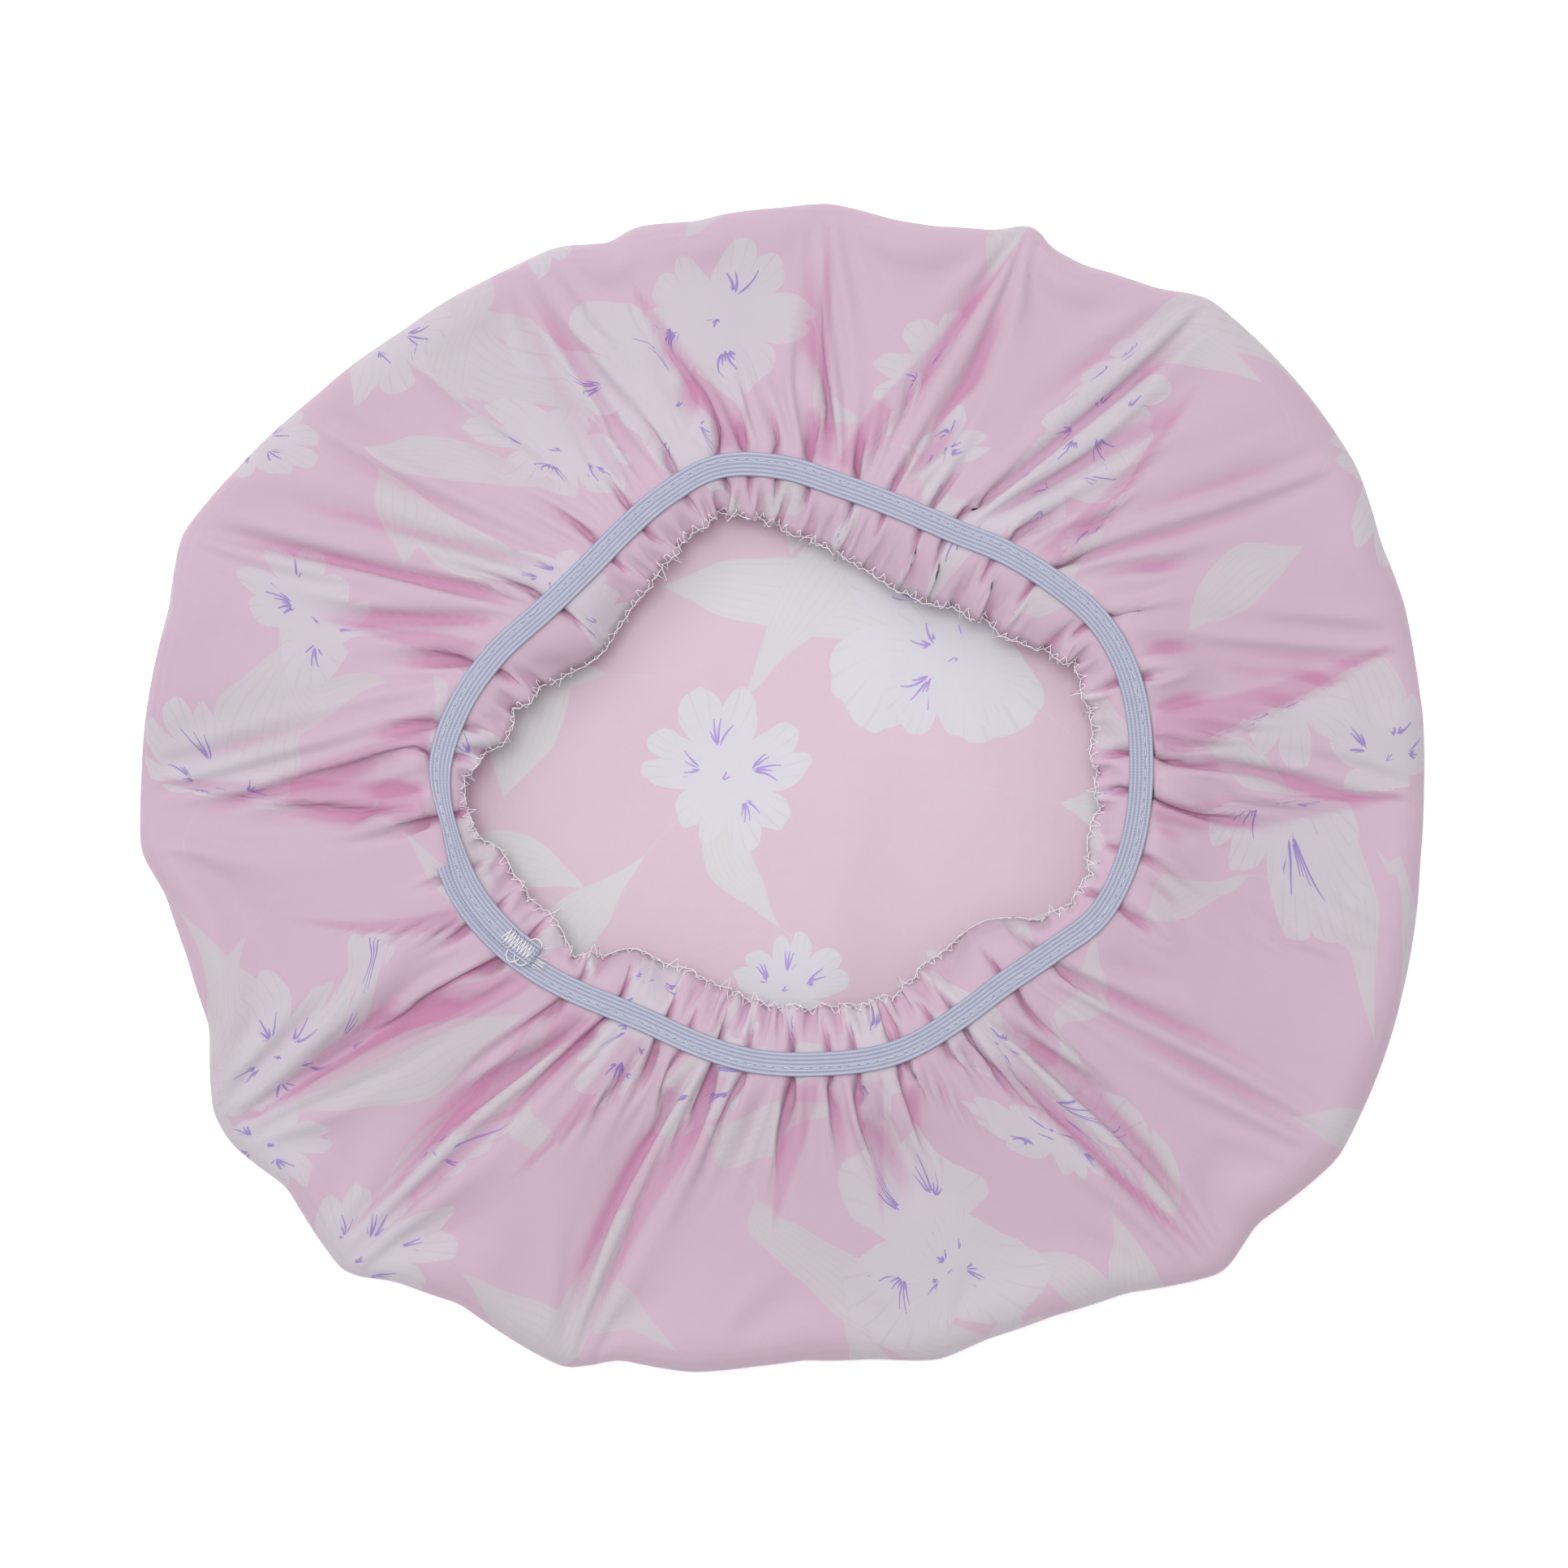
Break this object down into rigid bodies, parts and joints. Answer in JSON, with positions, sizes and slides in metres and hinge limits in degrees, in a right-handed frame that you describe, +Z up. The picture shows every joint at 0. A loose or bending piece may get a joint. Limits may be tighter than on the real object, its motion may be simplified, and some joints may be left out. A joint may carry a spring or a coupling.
{
  "type": "shower cap",
  "caption": "Shower cap of gathered coated cloth with an elastic sewn round its opening, lying crown down with the opening up.",
  "frame": {"origin": "on the surface the cap lies on, under the middle of its bounding box", "axes": "+Z up out of the opening, +X towards the right of the picture along the cap's longest side, +Y towards its top"},
  "size_m": [0.3004, 0.2724, 0.0213],
  "materials": {
    "coated_cloth": "thin woven polyester with a waterproof coating and a pale blossom print, slight satin sheen",
    "braided_elastic": "matte ribbed flat braid",
    "sewing_thread": "spun polyester thread"
  },
  "bodies": {
    "root": {"cap_cloth": "coated_cloth", "elastic_band": "braided_elastic", "band_seam_thread": "sewing_thread", "edge_overlock_thread": "sewing_thread", "join_bartack_thread": "sewing_thread"}
  },
  "joints": []
}
